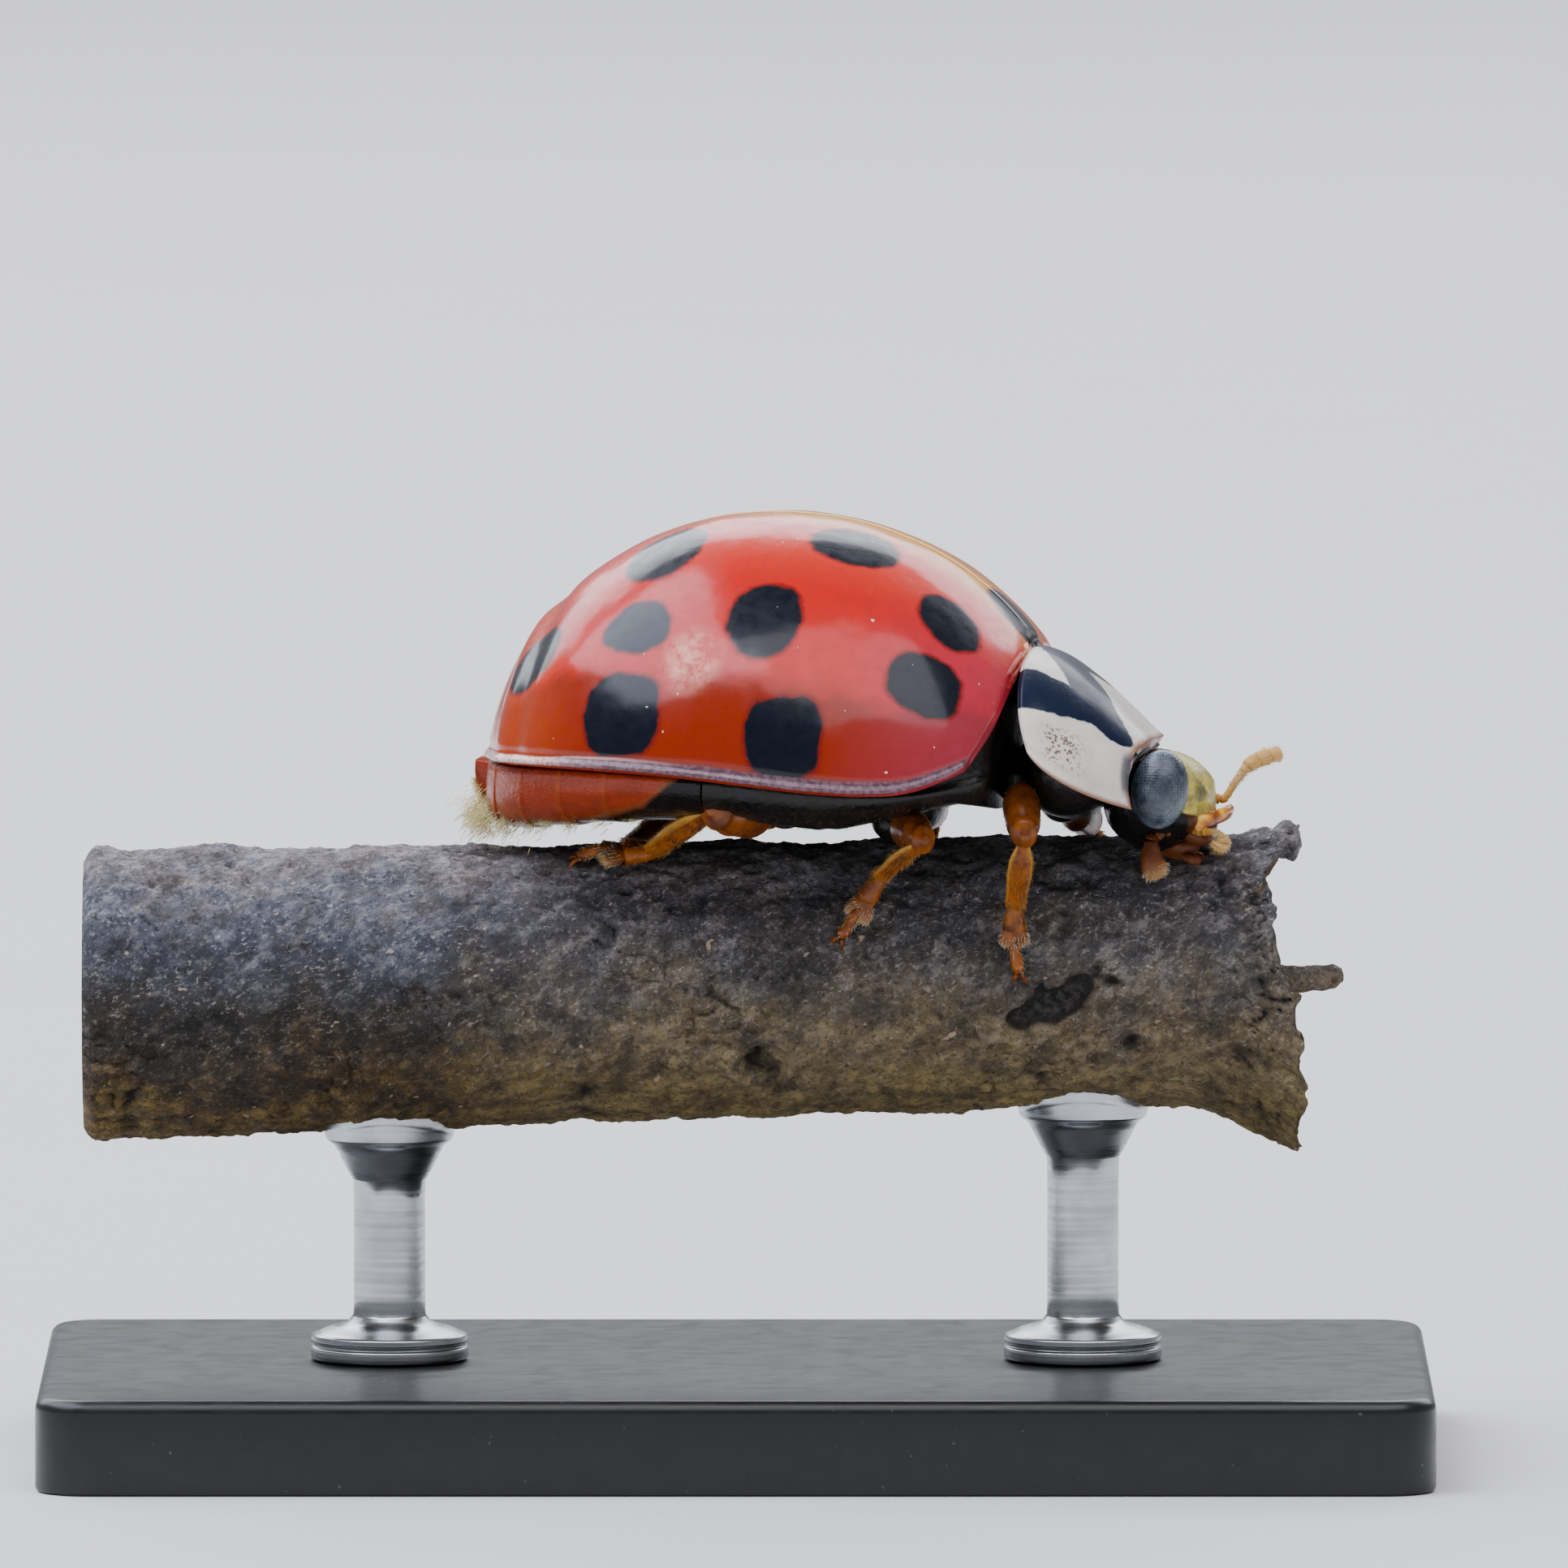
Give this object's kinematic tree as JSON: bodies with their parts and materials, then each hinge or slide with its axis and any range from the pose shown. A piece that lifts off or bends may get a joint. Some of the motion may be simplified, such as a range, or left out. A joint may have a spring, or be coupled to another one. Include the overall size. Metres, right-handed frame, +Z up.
{
  "type": "ladybird beetle on a twig",
  "caption": "Harlequin ladybird as a still life-size museum model, walking on a short cut twig held by two rods on a flat base.",
  "frame": {"origin": "middle of the display base's underside, on the surface it stands on", "axes": "+Z up, +X along the twig towards the beetle's head end, +Y to the beetle's left"},
  "size_m": [0.0132, 0.0076, 0.009],
  "materials": {
    "wing_case": "high-gloss red chitin with black spots and an orange lower flank",
    "pronotum": "glossy ivory chitin with a black M mark",
    "dark_cuticle": "glossy black chitin, finely pitted",
    "abdomen": "glossy dark red-brown chitin with fine hairs",
    "head": "glossy cream chitin",
    "compound_eye": "faceted blue-black lens",
    "limb": "orange-brown translucent chitin with golden hairs",
    "feeler": "pale orange-brown chitin with pale fuzz",
    "bark": "rough grey bark with brown patches",
    "base": "satin black acrylic sheet with bevelled edges",
    "steel": "turned stainless steel"
  },
  "bodies": {
    "root": {"elytron_right": "wing_case", "elytron_left": "wing_case", "scutellum": "dark_cuticle", "pronotum": "pronotum", "prothorax": "dark_cuticle", "thorax": "dark_cuticle", "abdomen": "abdomen", "head": "head", "mouthparts": "limb", "eye_right": "compound_eye", "palp_right": "limb", "antenna_right": "feeler", "eye_left": "compound_eye", "palp_left": "limb", "antenna_left": "feeler", "femur_front_right": "limb", "tibia_front_right": "limb", "tarsus_front_right": "limb", "femur_mid_right": "limb", "tibia_mid_right": "limb", "tarsus_mid_right": "limb", "femur_hind_right": "limb", "tibia_hind_right": "limb", "tarsus_hind_right": "limb", "femur_front_left": "limb", "tibia_front_left": "limb", "tarsus_front_left": "limb", "femur_mid_left": "limb", "tibia_mid_left": "limb", "tarsus_mid_left": "limb", "femur_hind_left": "limb", "tibia_hind_left": "limb", "tarsus_hind_left": "limb", "perch_twig": "bark", "stand_base": "base", "stand_rod_rear": "steel", "stand_rod_front": "steel"}
  },
  "joints": []
}
